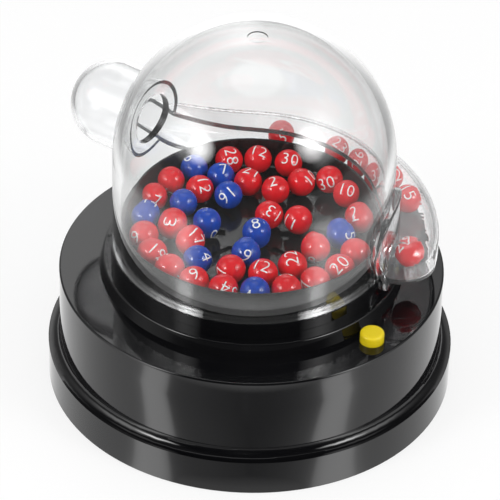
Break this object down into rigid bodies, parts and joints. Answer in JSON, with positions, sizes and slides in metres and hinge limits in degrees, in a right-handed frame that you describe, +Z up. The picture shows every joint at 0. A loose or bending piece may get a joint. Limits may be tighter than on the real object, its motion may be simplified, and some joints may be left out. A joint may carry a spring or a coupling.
{
  "type": "lottery ball machine",
  "caption": "Desktop lottery ball machine: round black base, clear dome over a bowl of coloured balls, side catch pod, outer ball track and a push button.",
  "frame": {"origin": "on the table, under the centre of the round base", "axes": "+Z up along the base's axis, -Y to the front; the button is at the front right (+X, -Y) and the catch pod at the left rear (-X, +Y)"},
  "size_m": [0.12, 0.12, 0.1166],
  "materials": {
    "black_plastic": "gloss",
    "clear_plastic": "clear gloss",
    "red_plastic": "gloss",
    "blue_plastic": "gloss",
    "yellow_plastic": "satin",
    "white_plastic": "satin",
    "switch_plastic": "satin",
    "circuit_board": "satin",
    "motor_metal": "plain",
    "cell_jacket": "satin",
    "contact_metal": "nickel plated",
    "steel": "bright"
  },
  "bodies": {
    "base": {"base_housing": "black_plastic", "mixing_bowl": "black_plastic", "motor_can": "motor_metal", "motor_end_bell": "white_plastic", "motor_strap": "steel", "strap_screws": "steel", "bowl_screws": "steel", "bottom_cover": "black_plastic", "cover_screws": "steel", "battery_front": "cell_jacket", "battery_rear": "cell_jacket", "battery_contacts": "contact_metal", "switch_board": "circuit_board", "push_switch": "switch_plastic", "board_screws": "steel", "button_spring": "steel"},
    "dome": {"dome_shell": "clear_plastic", "catch_pod": "clear_plastic", "ball_track": "clear_plastic", "drawn_balls": "red_plastic"},
    "agitator": {"agitator_disc": "black_plastic", "motor_shaft": "steel", "red_balls": "red_plastic", "blue_balls": "blue_plastic"},
    "button": {"push_button": "yellow_plastic"},
    "battery_door": {"battery_door": "black_plastic"}
  },
  "joints": [
    {"name": "dome_lift", "type": "slide", "parent": "base", "child": "dome", "axis": [0, 0, 1], "range_m": [0, 0.06]},
    {"name": "agitator_spin", "type": "hinge", "parent": "base", "child": "agitator", "pos_m": [0, 0, 0.046], "axis": [0, 0, 1], "continuous": true},
    {"name": "button_press", "type": "slide", "parent": "base", "child": "button", "axis": [0, 0, -1], "range_m": [0, 0.0015], "stiffness_N_per_m": 600, "springref_m": -0.001, "deforming": ["button_spring"]},
    {"name": "battery_door_swing", "type": "hinge", "parent": "base", "child": "battery_door", "pos_m": [-0.027, 0.027, 0.0017], "axis": [0, 1, 0], "range_deg": [0, 90]}
  ]
}
